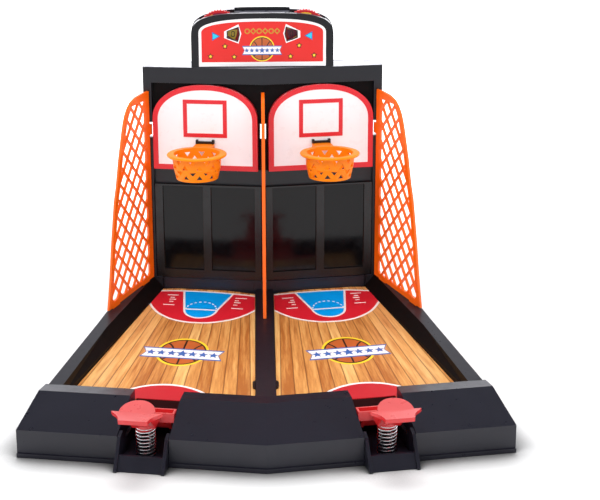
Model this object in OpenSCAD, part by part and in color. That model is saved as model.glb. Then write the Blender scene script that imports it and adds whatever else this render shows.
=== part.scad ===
// Two-lane tabletop basketball shooting game.
// Millimetres, +Z up, +Y towards the rear, origin at the centre of the footprint on the table top.

/* [Overall] */
// Width of the front console at the table
body_w = 280; // [276:1:284]
// Angle each half is turned back from the straight front line, degrees
v_ang = 9.5; // [9:0.25:10]
// Height of the rear tower
tower_h = 190.6; // [188:0.2:194]
// Width of the rear tower
tower_w = 156; // [155:0.5:157]
// Wall thickness of the mouldings
wall = 2.2; // [1.8:0.1:2.4]

/* [Console] */
// Height of the upright front face
face_h = 16.2; // [15.5:0.1:17]
// Height of the console's flat top
console_h = 27.1; // [26.5:0.1:27.8]
// Depth of one console arm, front lip to back wall
console_d = 42; // [41:0.5:42.5]

/* [Courts] */
// Slope of the playing boards, degrees
court_tilt = 8.86; // [8.4:0.02:9.2]
// Height of the board surface just behind the console
court_z = 20.4; // [20:0.1:20.8]
// Width of the beam between the two boards
beam_w = 11.8; // [11:0.2:12.4]

/* [Launchers] */
// Distance of the lane centre line along an arm
lane_u = 69.2; // [68.6:0.1:69.8]
// Width of the launcher slot
slot_w = 29.2; // [28.8:0.1:29.6]
// Diameter of the finger pad
pad_d = 19.9; // [19:0.1:20.6]
// Diameter of the launch spring
spring_d = 11.5; // [11:0.1:12]
// Downward travel the mouldings leave room for, degrees
lever_travel = 13; // [10:1:13]

/* [Hoops] */
// Outside diameter of the rim
rim_d = 38; // [37:0.5:39]
// Height of the rim above the table
rim_z = 139.7; // [138:0.1:141]
// Height of the basket under the rim
basket_h = 15.3; // [15:0.1:16]
// Triangular cells in each row around the basket
basket_cells = 10; // [8:1:12]

/* [Nets] */
// Width of one mesh diamond
mesh_w = 9.86; // [9:0.02:10.4]
// Height of one mesh diamond
mesh_h = 12.86; // [11.6:0.02:13.6]
// Width of a mesh strand
strand = 1.1; // [1:0.05:1.6]
// Thickness of the net panels
net_t = 1.5; // [1.4:0.1:2.2]

/* [Score sign] */
// Width of the sign
sign_w = 91.6; // [90:0.2:92]
// Height of the sign face above the tower
sign_h = 34.8; // [34:0.2:35]
// Radius of a score dial
dial_r = 13.5; // [13:0.1:13.7]
// Grip notches around a dial
dial_notches = 44; // [36:4:52]

/* [Hidden] */
$fn = 48;
gap = 0.1;
y_front = -8.56;
y_back = 221.6;
y_mid = (y_front + y_back) / 2;
black = [0.13, 0.13, 0.15];
red = [0.84, 0.12, 0.2];
orange = [0.98, 0.45, 0.05];
steel = [0.75, 0.76, 0.78];
// console section: front lip, upright face, slope, flat top
lip_h = 2.4;
lip_out = 1.0;
slope_v = 32.2;
side_k = 0.2867;
// court plane passes through this point of each lane frame
court_v = 59.3;
court_back_v = 184.8;
print_arc_r = 172;
print_arc_u = 74;
print_arc_v = 185.3;
sill_t = 1.7;
court_front_v = 42.4;
notch_v = 48.6;
print_t = 0.5;
deck_t = 2.0;
court_edge_x = 117.5;
court_edge_y = 63.6;
court_edge_k = 0.3666;
// tower
tower_v = 185.2;
tower_apex_y = tower_v / cos(v_ang);
field_d = 3.0;
front_wall = 5.0;
stile_w = 5.4;
header_z = 180.2;
seam_z = 112.4;
sill_z = 47.4;
cover_t = 2.2;
// backboard
board_w = 69.6;
board_z0 = 122.7;
board_z1 = 155.9;
board_top = 179.3;
board_u = 69.5;
// launcher
web_t = 1.2;
cheek_t = 1.9;
cradle_w = slot_w - 0.5;
cradle_floor = 3.2;
lever_w = cradle_w - 2 * cheek_t - 0.5;
pin_v = 44;
pin_z = 8.5;
pin_r = 1.5;
spring_v = 8;
spring_z0 = cradle_floor + 0.02;
spring_z1 = 20.5;
spring_wire = 0.75;
tray_v0 = 16.8;
tray_v1 = 24;
tray_z = 24.2;
pad_v = -9.5;
pad_z = 36;
pad_tilt = 17;
lip_v = -18.9;
lip_w = 16.2;
wing_w = 28.4;
// sign
sign_y0 = 195.2;
sign_y1 = 217.2;
sign_mid = 206;
dial_x = 27.6;
dial_z = 213.6;
dial_y0 = 200.4;
dial_y1 = 203.6;
axle_r = 2.0;
// nets
net_back = [74.9, 199.3];
net_front = [100.6, 150.8];
net_top_z = 174.8;
net_tab_z = 144;
mesh_k = 0.16;
rail_k = 0.15;

// ---------- helpers ----------
// everything is drawn from the front lip and moved so the footprint is centred
module place() translate([0, -y_mid, 0]) children();
// side -1 is the left half, 1 the right half
module half(s) mirror([s < 0 ? 1 : 0, 0, 0]) children();
// frame of one lane: u runs out along the arm, v runs back
module lane() rotate([0, 0, v_ang]) children();
// section drawn in (v, z), carried along u
module along_u(u0, u1) translate([u0, 0, 0]) rotate([90, 0, 90]) linear_extrude(u1 - u0) children();
// section drawn in (u, z), carried along v
module along_v(v0, v1) translate([0, v1, 0]) rotate([90, 0, 0]) linear_extrude(v1 - v0) children();
// rounded arch: points of the upper curve of a superellipse, right to left
function arch(w, z0, h, n, steps) = [
  for (i = [0:steps])
    let (a = 180 * i / steps, c = cos(a), s = sin(a))
      [w * sign(c) * pow(abs(c), 2 / n), z0 + h * pow(abs(s), 2 / n)]
];

module console_foot(e) {
  x0 = body_w / 2 - e;
  yc = body_w / 2 * tan(v_ang);
  polygon([[-0.001, -20], [x0 + side_k * (yc + 20), -20], [x0 - side_k * (80 - yc), 80], [-0.001, 80]]);
}

// ---------- console ----------
module console_half() {
  difference() {
    intersection() {
      linear_extrude(console_h) console_foot(0);
      lane() along_u(-20, 180)
        polygon([[0, 0], [0, lip_h], [lip_out, lip_h], [lip_out, face_h], [slope_v, console_h],
                 [console_d, console_h], [console_d, 0]]);
    }
    difference() {
      intersection() {
        translate([0, 0, -1]) linear_extrude(console_h) console_foot(wall);
        lane() along_u(-20, 180)
          polygon([[lip_out + wall, -1], [lip_out + wall, face_h - wall * 0.7],
                   [slope_v + wall * 0.2, console_h - wall], [console_d - wall, console_h - wall],
                   [console_d - wall, -1]]);
      }
      lane() translate([lane_u - slot_w / 2 - wall, -5, -2]) cube([slot_w + 2 * wall, 60, 40]);
    }
    lane() translate([lane_u - slot_w / 2, -5, web_t]) cube([slot_w, 60, 40]);
    lane() translate([lane_u - slot_w / 2, -5, -1]) cube([slot_w, 5 + lip_out + gap, 5]);
  }
}

module front_console() {
  color(black) place() {
    half(1) console_half();
    half(-1) console_half();
  }
}

// ---------- courts ----------
module court_frame() lane() translate([0, court_v, court_z]) rotate([court_tilt, 0, 0]) children();

module court_foot(e) {
  y0 = 20;
  y1 = 240;
  polygon([
    [beam_w / 2 + gap - e, y0],
    [court_edge_x - gap + e - court_edge_k * (y0 - court_edge_y), y0],
    [court_edge_x - gap + e - court_edge_k * (y1 - court_edge_y), y1],
    [beam_w / 2 + gap - e, y1]
  ]);
}

// slab between two heights under the court surface
module court_slab(z0, z1, v0, v1, e) {
  intersection() {
    translate([0, 0, -20]) linear_extrude(140) court_foot(e);
    court_frame() translate([-60, (v0 - court_v) / cos(court_tilt), z0])
      cube([260, (v1 - v0) / cos(court_tilt), z1 - z0]);
  }
}

module slot_notch(v1) lane() translate([lane_u - slot_w / 2 - 1, 30, -5]) cube([slot_w + 2, v1 - 30, 60]);

// the room a deck and its print take, opened upwards
module court_room() court_slab(-print_t - deck_t - 0.04, 40, court_front_v - 1, court_back_v + 0.1, gap);

module court_deck(s) {
  color(black) place() half(s) {
    difference() {
      court_slab(-print_t - deck_t, -print_t, court_front_v, court_back_v, 0);
      slot_notch(notch_v);
    }
    intersection() {
      lane() translate([lane_u - slot_w / 2 - 4, notch_v, 3.6]) cube([slot_w + 8, 2, 30]);
      court_frame() translate([-60, -40, -40]) cube([260, 160, 40 - print_t]);
    }
  }
}
module court_deck_left() court_deck(-1);
module court_deck_right() court_deck(1);

module court_print(s) {
  color([0.87, 0.62, 0.36]) place() half(s) difference() {
    intersection() {
      court_slab(-print_t + 0.01, 0, court_front_v + 0.3, court_back_v - 0.2, -0.2);
      lane() translate([print_arc_u, print_arc_v - print_arc_r, 0]) cylinder(r = print_arc_r, h = 80, $fn = 180);
    }
    slot_notch(notch_v - 0.2);
  }
}
module court_print_left() court_print(-1);
module court_print_right() court_print(1);

module centre_beam() {
  z0 = court_z + 1.4;
  k = tan(court_tilt);
  color(black) place() difference() {
    intersection() {
      rotate([90, 0, 90]) translate([0, 0, -beam_w / 2 - 3]) linear_extrude(beam_w + 6)
        polygon([[44, 0], [44, z0 + k * (44 - 60)], [tower_apex_y - gap, z0 + k * (tower_apex_y - 60)],
                 [tower_apex_y - gap, 0]]);
      for (s = [-1, 1]) half(s) linear_extrude(80) polygon([
        [-1, 0], [beam_w / 2 + 3, 0], [beam_w / 2 + 3, 240], [-1, 240]]);
      for (s = [-1, 1]) half(s) intersection() {
        translate([-0.01, 0, 0]) cube([40, 240, 80]);
        lane() translate([-10, console_d + gap, 0]) cube([80, tower_v - console_d - 2 * gap, 80]);
      }
    }
    for (s = [-1, 1]) half(s) court_room();
    for (s = [-1, 1]) half(s) translate([beam_w / 2, 0, court_z - 3]) rotate([court_tilt, 0, 0])
      translate([0, 30, 0.5]) cube([10, 200, 60]);
    // hollow from below
    rotate([90, 0, 90]) translate([0, 0, -beam_w / 2 + wall]) linear_extrude(beam_w - 2 * wall)
      polygon([[50, -1], [50, z0 + k * (50 - 60) - 4.5], [150, z0 + k * (150 - 60) - 4.5], [150, -1]]);
    // the end between the boards and the tower is narrow and stands on the base plate's bridge
    for (s = [-1, 1]) half(s) translate([beam_w / 2, 172, -1]) cube([20, 40, 100]);
    translate([-20, 181.9, -1]) cube([40, 10, 4.3]);
    // slot for the centre net's foot
    for (y = [153, 172]) translate([-net_t / 2 - 0.5, y - 0.3, 26]) cube([net_t + 1, 8.6, 20]);
  }
}

// ---------- side rails ----------
module rail_foot(e) {
  polygon([
    [127.6 - e, 60], [105.2 - e, 137.1], [101.5 - e, 150.8], [77.8 - e, 199.6], [77.8 - e, 230],
    [64, 230], [court_edge_x - 3 - court_edge_k * (190 - court_edge_y), 190],
    [court_edge_x - 3 - court_edge_k * (50 - court_edge_y), 50], [127.6 - e, 50]
  ]);
}

module under_rail_top(drop) {
  translate([0, 62.9, console_h - drop]) rotate([atan(rail_k), 0, 0]) translate([-20, -40, -90])
    cube([200, 240, 90]);
}

// open space beside the board, bounded by a leaning wall and an upright one
module valley(e) {
  intersection() {
    translate([court_edge_x + e, court_edge_y, court_z + 0.7]) rotate([0, 0, atan(court_edge_k)])
      rotate([7.49, 0, 0]) rotate([0, 41.2, 0]) translate([-200, -60, -100]) cube([200, 300, 200]);
    translate([117.7 + e, 63.6, -50]) rotate([0, 0, atan(0.272)]) translate([-200, -60, 0])
      cube([200, 300, 200]);
  }
}

module side_rail(s) {
  color(black) place() half(s) difference() {
    intersection() {
      linear_extrude(80) rail_foot(0);
      under_rail_top(0);
      lane() translate([-40, console_d + gap, 0]) cube([240, tower_v - console_d - 2 * gap, 90]);
    }
    valley(0);
    court_room();
    difference() {
      intersection() {
        translate([0, 0, -1]) linear_extrude(80) rail_foot(wall);
        under_rail_top(wall);
        lane() translate([-40, console_d + 4, -5]) cube([240, tower_v - console_d - 10, 90]);
      }
      valley(wall + 1.2);
      translate([0, 0, -1]) linear_extrude(80) polygon([
        [court_edge_x + 0.5 - court_edge_k * (40 - court_edge_y), 40],
        [court_edge_x + 0.5 - court_edge_k * (230 - court_edge_y), 230], [0, 230], [0, 40]]);
    }
    // slots for the net's feet
    net_frame() for (t = [6, 42]) translate([t - 0.3, -net_t / 2 - 0.25, 20]) cube([8.6, net_t + 0.5, 60]);
  }
}
module side_rail_left() side_rail(-1);
module side_rail_right() side_rail(1);

// ---------- base ----------
foot_xy = [[56, 78], [48, 186]];
base_screw_xy = [[78, 96], [52, 150], [26, 96]];

module base_plate() {
  color(black) place() difference() {
    for (s = [-1, 1]) half(s) intersection() {
      linear_extrude(10) polygon([
        [-0.01, 0], [court_edge_x - 3.3 - court_edge_k * (0 - court_edge_y), 0],
        [court_edge_x - 3.3 - court_edge_k * (206 - court_edge_y), 206], [-0.01, 206]]);
      lane() translate([-40, notch_v + 2.6, 1.2]) cube([240, tower_v - notch_v - 3, 2]);
    }
    translate([-beam_w / 2 - 3.2, 0, 0]) cube([beam_w + 6.4, 182, 10]);
    for (s = [-1, 1]) half(s) for (p = base_screw_xy) translate([p[0], p[1], 0]) cylinder(r = 1.5, h = 9);
  }
  // posts that carry the boards
  color(black) place() for (s = [-1, 1]) half(s) for (p = base_screw_xy) difference() {
    intersection() {
      translate([p[0], p[1], 3.2]) cylinder(r = 4, h = 60);
      court_frame() translate([-60, -60, -60]) cube([260, 220, 60 - print_t - deck_t - 0.05]);
    }
    translate([p[0], p[1], 0]) cylinder(r = 1.27, h = 13);
  }
  color(black) place() translate([-beam_w / 2 - 3.2, 182.2, 1.2]) cube([beam_w + 6.4, 4, 2]);
}

module rubber_feet() {
  color([0.06, 0.06, 0.06]) place() for (s = [-1, 1]) half(s) for (p = foot_xy)
    translate([p[0], p[1], 0]) cylinder(r = 6, h = 1.18);
}

module screw(len) {
  cylinder(r = 2.6, h = 1.0);
  cylinder(r = 1.25, h = len);
}

module base_screws() {
  color(steel) place() for (s = [-1, 1]) half(s) for (p = base_screw_xy)
    translate([p[0], p[1], 0.18]) screw(11);
}

// ---------- launchers ----------
module cradle_cheek(u0) {
  along_u(u0, u0 + cheek_t) difference() {
    polygon([[-10.5, 0], [-10.5, 0.9], [0.7, 15.9], [6, 17.5], [12, 10.6], [38, 10.6], [41, 13], [47.6, 13],
             [47.6, web_t + gap], [lip_out, web_t + gap], [lip_out, 0]]);
    translate([pin_v, pin_z]) circle(r = pin_r + 0.02);
  }
}

module launcher_cradle(s) {
  u0 = lane_u - cradle_w / 2;
  color(black) place() half(s) lane() {
    cradle_cheek(u0);
    cradle_cheek(u0 + cradle_w - cheek_t);
    along_u(u0 + cheek_t - 0.01, u0 + cradle_w - cheek_t + 0.01) union() {
      polygon([[lip_out, web_t + gap], [47.6, web_t + gap], [47.6, cradle_floor], [lip_out, cradle_floor]]);
      polygon([[-9.4, 0], [-4.4, 7.4], [-2.6, 7.4], [-2.6, 6.2], [lip_out, cradle_floor], [lip_out, 0]]);
    }
    difference() {
      translate([lane_u, spring_v, cradle_floor - 0.01]) cylinder(r = spring_d / 2 - spring_wire - 0.25, h = 3.2);
      translate([lane_u, spring_v, cradle_floor + 0.5]) cylinder(r = 2.4, h = 3.2);
    }
  }
}
module launcher_cradle_left() launcher_cradle(-1);
module launcher_cradle_right() launcher_cradle(1);

module launcher_pin(s) {
  color(steel) place() half(s) lane() translate([lane_u - cradle_w / 2 + 0.1, pin_v, pin_z])
    rotate([0, 90, 0]) cylinder(r = pin_r, h = cradle_w - 0.2);
}
module launcher_pin_left() launcher_pin(-1);
module launcher_pin_right() launcher_pin(1);

// plan of the front plate from its straight rear edge: concave sides run from the wing tips to the lip
module wing_plan() {
  d = pad_v - lip_v;
  half_side = [
    [wing_w / 2, 0], [wing_w / 2 - 1.5, -0.18 * d], [wing_w / 2 - 3.4, -0.36 * d], [wing_w / 2 - 4.9, -0.58 * d],
    [wing_w / 2 - 5.7, -0.8 * d], [lip_w / 2, -d]];
  left_side = [for (i = [5:-1:0]) [-half_side[i][0], half_side[i][1]]];
  polygon(concat(half_side, left_side));
}

module lever_body() {
  hw = lever_w / 2;
  tw = cradle_w / 2 - 0.1;
  // front plate, falling slightly to the lip
  translate([0, pad_v, pad_z]) rotate([6, 0, 0]) translate([0, 0, -2]) linear_extrude(2) wing_plan();
  // lip under the front edge
  along_u(-lip_w / 2, lip_w / 2) polygon([
    [lip_v, pad_z - 1], [lip_v + 0.5, pad_z - 3.6], [lip_v + 1.9, pad_z - 3.6], [lip_v + 1.9, pad_z - 1.2]]);
  // round finger pad, its rear half rising from the plate
  intersection() {
    translate([0, pad_v, pad_z]) rotate([pad_tilt, 0, 0]) translate([0, 0, -2.1]) cylinder(r = pad_d / 2, h = 2.2);
    translate([-20, pad_v - 0.6, 20]) cube([40, 40, 40]);
  }
  // neck from the plate down to the cross tray
  along_u(-6.5, 6.5) polygon([
    [pad_v - 3.5, pad_z - 1.7], [pad_v + 1.5, pad_z - 0.6], [-2, pad_z - 1.2], [4, 28.4], [9, 25.2],
    [tray_v0 + 1, tray_z - 0.6], [tray_v0 + 1, spring_z1 + 0.5], [2.9, spring_z1 + 0.5], [1.6, 23.2], [-3, 27.2]]);
  // spring boss
  translate([0, spring_v, spring_z1 - 2.6]) cylinder(r = spring_d / 2 - spring_wire - 0.25, h = 4);
  translate([0, spring_v, spring_z1 + 0.02]) cylinder(r = spring_d / 2 + 0.2, h = 2.6);
  // cross tray
  difference() {
    translate([-tw, tray_v0, 18.8]) cube([2 * tw, tray_v1 - tray_v0, tray_z - 18.8]);
    translate([-tw + 1.2, tray_v0 + 1.2, tray_z - 2.6]) cube([2 * tw - 2.4, tray_v1 - tray_v0 - 2.4, 4]);
  }
  // hollow arm back to the pin
  difference() {
    along_u(-hw, hw) polygon([
      [tray_v0 + 0.2, 18.9], [tray_v0 + 3.4, 13.6], [34, 6.6], [pin_v + 1, 4.4], [47, cradle_floor + 0.5],
      [47.6, cradle_floor + 1.8], [47.6, 10.4], [pin_v - 1, 12.6], [26, 17.4], [tray_v1 - 0.2, 20.5], [tray_v1 - 0.2, 22],
      [tray_v0 + 0.2, 22]]);
    along_u(-hw + 1.8, hw - 1.8) polygon([
      [21.4, 16.4], [34, 8.6], [38, 7.2], [38, -5], [14, -5], [14, 12]]);
    along_u(-hw - 1, hw + 1) translate([pin_v, pin_z]) circle(r = pin_r + 0.05);
    // seat for the ball
    translate([0, 35, 27.5]) sphere(r = 13, $fn = 96);
  }
}

module launcher_lever(s) {
  color(red) place() half(s) lane() translate([lane_u, 0, 0]) lever_body();
}
module launcher_lever_left() launcher_lever(-1);
module launcher_lever_right() launcher_lever(1);

module launcher_spring(s) {
  turns = 8;
  r = spring_d / 2 - spring_wire / 2;
  pitch = (spring_z1 - spring_z0 - spring_wire) / (turns - 1);
  color(steel) place() half(s) lane() translate([lane_u, spring_v, spring_z0 + spring_wire / 2]) {
    for (i = [0:turns - 1]) translate([0, 0, pitch * i]) rotate_extrude($fn = 40) translate([r, 0])
      circle(r = spring_wire / 2, $fn = 14);
    for (i = [0:turns - 2]) rotate([0, 0, 90 + 180 * (i % 2)]) translate([r, 0, pitch * i])
      cylinder(r = spring_wire * 0.42, h = pitch, $fn = 14);
  }
}
module launcher_spring_left() launcher_spring(-1);
module launcher_spring_right() launcher_spring(1);

// ---------- rear tower ----------
function panel_u(x) = x / cos(v_ang) + tower_apex_y * sin(v_ang);

module tower_foot(x1, y0, y1) polygon([
  [-x1, y0 + x1 * tan(v_ang)], [0, y0], [x1, y0 + x1 * tan(v_ang)], [x1, y1], [-x1, y1]]);

module net_slots(y0, y1, w, h, dz) {
  for (x = [-73.6, 0, 73.6]) translate([x - (x == 0 ? w - 0.9 : w) / 2, y0, net_tab_z - dz])
    cube([x == 0 ? w - 0.9 : w, y1 - y0, h]);
}

module rear_tower() {
  hw = tower_w / 2;
  color(black) place() difference() {
    linear_extrude(tower_h) tower_foot(hw, tower_apex_y, y_back - cover_t - gap);
    difference() {
      translate([0, 0, -1]) linear_extrude(tower_h - 1.4)
        tower_foot(hw - wall, tower_apex_y + front_wall, y_back);
      // screw bosses
      for (x = [-68, 68], z = [20, 100, 176]) translate([x, 240, z]) rotate([90, 0, 0]) cylinder(r = 3.6, h = 60);
    }
    for (x = [-68, 68], z = [20, 100, 176]) translate([x, 240, z]) rotate([90, 0, 0]) cylinder(r = 1.27, h = 32);
    // recessed field behind boards and backstops
    for (s = [-1, 1]) half(s) intersection() {
      lane() translate([-20, tower_v - 10, sill_z]) cube([20 + panel_u(hw - stile_w), 10 + field_d, header_z - sill_z]);
      cube([100, 300, 300]);
    }
    for (s = [-1, 1]) half(s) intersection() {
      lane() translate([-20, tower_v - 10, 36]) cube([21 + panel_u(67.6), 10 + sill_t, sill_z - 35]);
      cube([100, 300, 300]);
    }
    net_slots(180, 210, 4.6, 10, 0);
    // hoop plugs
    for (s = [-1, 1]) half(s) lane() translate([lane_u - 4.1, tower_v, rim_z - 1.6]) cube([8.2, 8, 2.6]);
    for (x = [-36, 36]) translate([x, 211, tower_h - 4]) cylinder(r = 1.5, h = 10);
  }
}

module rear_cover() {
  hw = tower_w / 2;
  color(black) place() difference() {
    union() {
      translate([-hw, y_back - cover_t, 0]) cube([2 * hw, cover_t, tower_h]);
      translate([-hw + wall + 0.3, y_back - cover_t - 2.5, 4]) cube([1.6, 2.6, 12]);
      translate([hw - wall - 1.9, y_back - cover_t - 2.5, 4]) cube([1.6, 2.6, 12]);
    }
    for (x = [-68, 68], z = [20, 100, 176]) translate([x, 240, z]) rotate([90, 0, 0]) cylinder(r = 1.5, h = 40);
    net_slots(215, 230, 6.4, 30, 18);
    for (i = [-3:3]) translate([i * 14 - 1.5, 210, 60]) cube([3, 20, 40]);
  }
}

module cover_screws() {
  color(steel) place() for (x = [-68, 68], z = [20, 100, 176])
    translate([x, y_back + 0.0, z]) rotate([90, 0, 0]) translate([0, 0, -0.0]) {
      cylinder(r = 1.25, h = 10);
    }
  color(steel) place() for (x = [-68, 68], z = [20, 100, 176])
    translate([x, y_back, z]) rotate([90, 0, 0]) cylinder(r = 1.45, h = 1.2);
}

module rear_sill() {
  color(black) place() for (s = [-1, 1]) half(s) difference() {
    intersection() {
      union() {
        lane() translate([-20, tower_v, 36.2]) cube([200, sill_t - 0.1, sill_z - 36.2]);
        lane() translate([lane_u - 31, tower_v - 0.3, 41.2]) cube([60, 0.5, 5.2]);
      }
      linear_extrude(90) polygon([[0.1, 100], [67.4, 100], [67.4, 230], [0.1, 230]]);
    }
    // clear the centre net
    translate([-net_t / 2 - 0.6, 100, 0]) cube([net_t + 1.2, 130, 90]);
  }
}

// lower insert: frame, middle post and two recessed windows
module backstop(s) {
  u0 = panel_u(1.6);
  u1 = panel_u(tower_w / 2 - stile_w) - 0.2;
  z0 = sill_z + 0.1;
  h = seam_z - z0;
  color(black) place() half(s) lane() difference() {
    translate([u0, tower_v + 0.4, z0]) cube([u1 - u0, field_d - 0.45, h]);
    translate([u0 + 4.5, tower_v - 1, z0 + 6]) cube([lane_u - 2.8 - u0 - 4.5, 2.9, h - 7.5]);
    translate([lane_u + 2.8, tower_v - 1, z0 + 6]) cube([u1 - 5.5 - lane_u - 2.8, 2.9, h - 7.5]);
  }
}
module backstop_left() backstop(-1);
module backstop_right() backstop(1);

function board_pts(e) = concat(
  arch(board_w / 2 - e, board_z1, board_top - board_z1 - e, 2.15, 40),
  [[-board_w / 2 + e, board_z0 + e], [board_w / 2 - e, board_z0 + e]]
);

module board_plug(e) translate([lane_u - board_u - 4 - e, rim_z - 1.5 - e]) square([8 + 2 * e, 2.4 + 2 * e]);

module backboard(s) {
  color([0.93, 0.92, 0.95]) place() half(s) lane() translate([board_u, 0, 0])
    along_v(tower_v + 0.1, tower_v + field_d - 0.05) difference() {
      polygon(board_pts(0));
      board_plug(0.1);
    }
}
module backboard_left() backboard(-1);
module backboard_right() backboard(1);

module board_trim(s) {
  color(red) place() half(s) lane() translate([board_u, 0, 0]) along_v(tower_v - 0.2, tower_v + 0.08) {
    difference() {
      polygon(board_pts(0));
      polygon(board_pts(3.4));
    }
    translate([-14.7, 144.7]) difference() {
      square([29, 24.8]);
      translate([2.6, 2.6]) square([23.8, 19.6]);
    }
  }
}
module board_trim_left() board_trim(-1);
module board_trim_right() board_trim(1);

// ---------- hoops ----------
hoop_v = 157.5;
basket_t = 1.1;

// wall profile, rim to foot: nearly upright under the rim, then drawn in
function basket_profile(e) = [
  [rim_d / 2 - 3.3 - e, 0], [rim_d / 2 - 4.0 - e, -0.515 * basket_h], [rim_d / 2 - 5.7 - e, -basket_h]];

module basket_cell(turn, w, z0, z1) rotate([0, 0, turn]) rotate([90, 0, 0]) translate([0, 0, 8])
  linear_extrude(12) polygon([[-w / 2, z0], [w / 2, z0], [0, z1]]);

module basket_shell() {
  outer = basket_profile(0);
  inner = basket_profile(basket_t);
  step = 360 / basket_cells;
  difference() {
    rotate_extrude($fn = 96) polygon(concat(outer, [for (i = [2:-1:0]) inner[i]]));
    for (i = [0:basket_cells - 1]) {
      basket_cell(step * i, 4.4, -1.4, -4.5);
      basket_cell(step * (i + 0.5), 4.6, -7.4, -3.9);
      basket_cell(step * i, 5, -8.4, -11.3);
      basket_cell(step * (i + 0.5), 4.2, -13.7, -10.8);
    }
  }
}

module hoop(s) {
  color(orange) place() half(s) lane() translate([lane_u, hoop_v, rim_z]) {
    basket_shell();
    // flat rim with rounded edges
    rotate_extrude($fn = 96) {
      translate([rim_d / 2 - 0.8, 0]) circle(r = 0.8, $fn = 20);
      translate([rim_d / 2 - 2.5, 0]) circle(r = 0.8, $fn = 20);
      translate([rim_d / 2 - 4.3, -0.8]) square([3.5, 1.6]);
    }
    // bracket and plug
    difference() {
      translate([-6, 12, -1.7]) cube([12, tower_v - hoop_v - 12.3, 2.7]);
      translate([0, 0, -5]) cylinder(r = rim_d / 2 - 3.7, h = 12, $fn = 96);
    }
    translate([-4, 22, -1.5]) cube([8, tower_v - hoop_v - 22 + 6.5, 2.4]);
  }
}
module hoop_left() hoop(-1);
module hoop_right() hoop(1);

module hoop_clip(s) {
  color(black) place() half(s) lane() translate([lane_u, tower_v - 0.22, 0]) {
    translate([-6.1, -1.6, rim_z + 1.1]) cube([12.2, 1.6, 1.5]);
    for (x = [-6.1, 4.6]) translate([x, -2.4, rim_z + 1.1]) cube([1.5, 2.4, 2.6]);
  }
}
module hoop_clip_left() hoop_clip(-1);
module hoop_clip_right() hoop_clip(1);

// ---------- nets ----------
net_dx = net_front[0] - net_back[0];
net_dy = net_front[1] - net_back[1];
net_len = sqrt(net_dx * net_dx + net_dy * net_dy);

// frame of a side net: first axis runs from the tower towards the player
module net_frame() translate([net_back[0], net_back[1], 0]) rotate([0, 0, atan2(net_dy, net_dx)]) children();

function rail_top(y) = console_h + rail_k * (y - 62.9);

// diamond openings in columns; every row drops towards the player by mesh_k
module mesh_openings(t0, z0, w, h) {
  cols = ceil((w - t0) / mesh_w * 2);
  rows = ceil(h / mesh_h) + 2;
  a = (mesh_w - strand * 1.25) / 2;
  b = (mesh_h - strand * 1.64) / 2;
  for (c = [0:cols], r = [-1:rows])
    translate([t0 + c * mesh_w / 2, z0 + (r + (c % 2) / 2) * mesh_h - mesh_k * c * mesh_w / 2])
      polygon([[-a, mesh_k * a], [0, -b], [a, -mesh_k * a], [0, b]]);
}

// sail shape from foot to head: upright back edge, leaning front edge, rounded shoulder
function sail_side(w, zf, zt, e) = [for (p = [
  [0.97, 0.06], [0.925, 0.16], [0.875, 0.3], [0.822, 0.425], [0.782, 0.515], [0.73, 0.585], [0.66, 0.712],
  [0.602, 0.797], [0.572, 0.84], [0.538, 0.882], [0.498, 0.917], [0.45, 0.945], [0.38, 0.97], [0.28, 0.987]])
    [p[0] * w - e, zf + p[1] * (zt - zf) - e * 0.3]];
function sail(w, zb, zf, zt) = concat([[0, zb], [w, zf]], sail_side(w, zf, zt, 0), [[0.13 * w, zt - 0.4], [0, zt]]);
function sail_field(w, zb, zf, zt) = concat(
  [[4.8, zb + 3.2 - 0.14 * 6.6], [w - 5.4, zf + 4.6]],
  [for (p = sail_side(w, zf, zt, 3.3)) if (p[1] < zt - 8) p],
  [[0.36 * w, zt - 6.6], [4.8, zt - 5.4]]);

module net_sheet(w, zb, zf, zt, z0) {
  difference() {
    polygon(sail(w, zb, zf, zt));
    intersection() {
      mesh_openings(6.8, z0, w, zt - zf);
      polygon(sail_field(w, zb, zf, zt));
    }
  }
}

module side_net(s) {
  zb = rail_top(net_back[1]) + 0.5;
  zf = rail_top(net_front[1]) + 0.5;
  color(orange) place() half(s) net_frame() translate([0, net_t / 2, 0]) rotate([90, 0, 0]) linear_extrude(net_t) {
    net_sheet(net_len, zb, zf, net_top_z, 54.7);
    for (t = [6, 42]) translate([t, zb - (zb - zf) * t / net_len - 4]) square([8, 5]);
    translate([-3, net_tab_z + 1.5]) square([3.5, 7]);
  }
}
module side_net_left() side_net(-1);
module side_net_right() side_net(1);

module centre_net() {
  y1 = tower_apex_y - 0.3;
  w = 40;
  zb = court_z + 1.4 + tan(court_tilt) * (y1 - 60) + 0.3;
  zf = court_z + 1.4 + tan(court_tilt) * (y1 - w - 60) + 0.3;
  color(orange) place() translate([0, y1, 0]) rotate([0, 0, -90]) translate([0, net_t / 2 + 0.3, 0]) rotate([90, 0, 0])
    linear_extrude(net_t + 0.6) {
      net_sheet(w, zb, zf, 175.5, 54.7);
      for (t = [y1 - 180, y1 - 161]) translate([t, zb - (zb - zf) * t / w - 4]) square([8, 5]);
      translate([-3, net_tab_z + 1.5]) square([3.5, 7]);
    }
}

// ---------- score sign ----------
function sign_pts(e) = concat(
  arch(sign_w / 2 - e, tower_h + 18.4, sign_h - 18.4 - e, 3.4, 44),
  [[-sign_w / 2 + e, tower_h + 0.05 + (e > 0 ? e : 0)], [sign_w / 2 - e, tower_h + 0.05 + (e > 0 ? e : 0)]]
);
function sign_pts_rear(e) = concat(
  arch(sign_w / 2 + 0.3 - e, tower_h + 18.4, sign_h - 16.9 - e, 3.2, 44),
  [[-sign_w / 2 - 0.3 + e, tower_h + 0.05 + (e > 0 ? e : 0)], [sign_w / 2 + 0.3 - e, tower_h + 0.05 + (e > 0 ? e : 0)]]
);

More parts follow.
